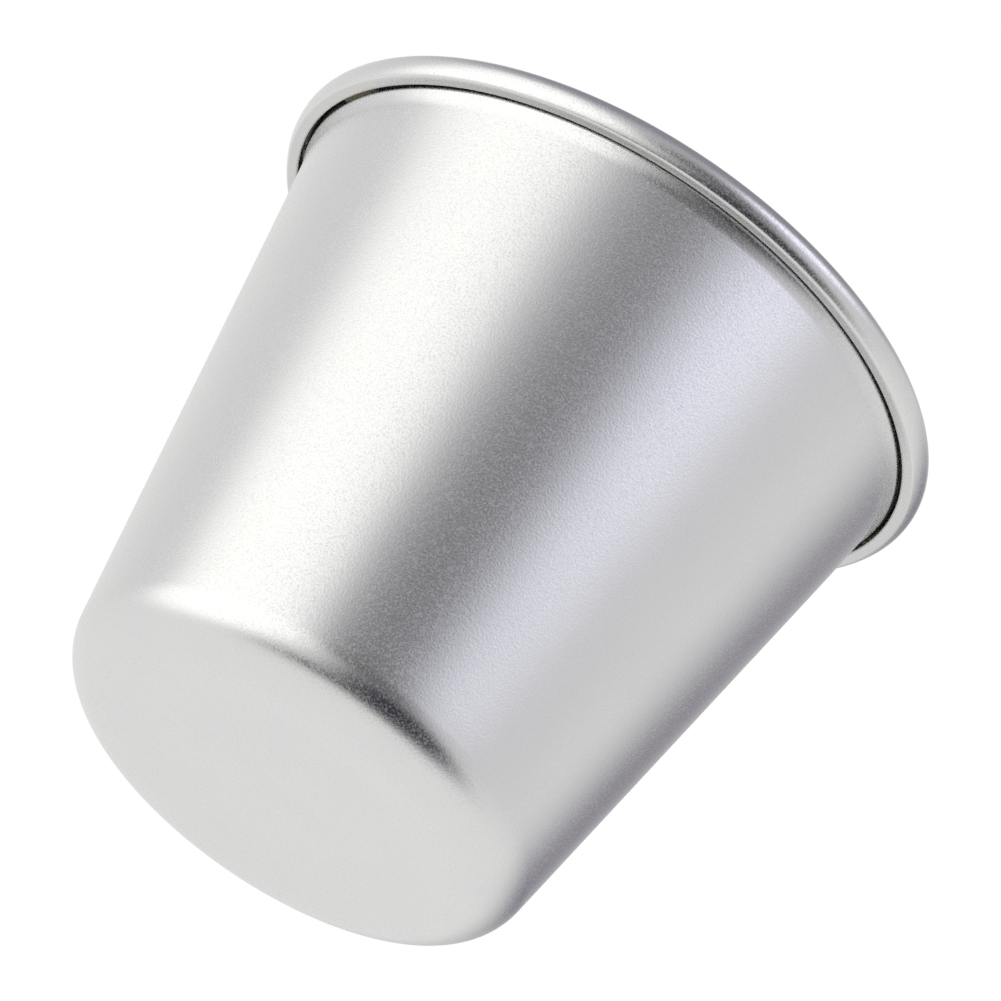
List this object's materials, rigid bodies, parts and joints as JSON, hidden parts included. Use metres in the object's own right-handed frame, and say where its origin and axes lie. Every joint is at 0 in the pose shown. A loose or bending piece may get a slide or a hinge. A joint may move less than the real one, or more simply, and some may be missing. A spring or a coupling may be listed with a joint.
{
  "type": "pudding mould",
  "caption": "Small tapered round custard mould drawn from satin aluminium sheet, with a rounded base corner, a shallow pressed base and a rim rolled outwards over a wire.",
  "frame": {"origin": "middle of the plane that the mould stands on, on its axis", "axes": "+Z is the cup's axis and points out of its mouth; +X and +Y are level and arbitrary, because the cup is round"},
  "size_m": [0.072, 0.072, 0.0636],
  "materials": {
    "aluminium_sheet": "satin anodised, with a fine even grain",
    "wire": "drawn steel wire, dull and slightly browned"
  },
  "bodies": {
    "root": {"mould_shell": "aluminium_sheet", "rim_wire": "wire"}
  },
  "joints": []
}
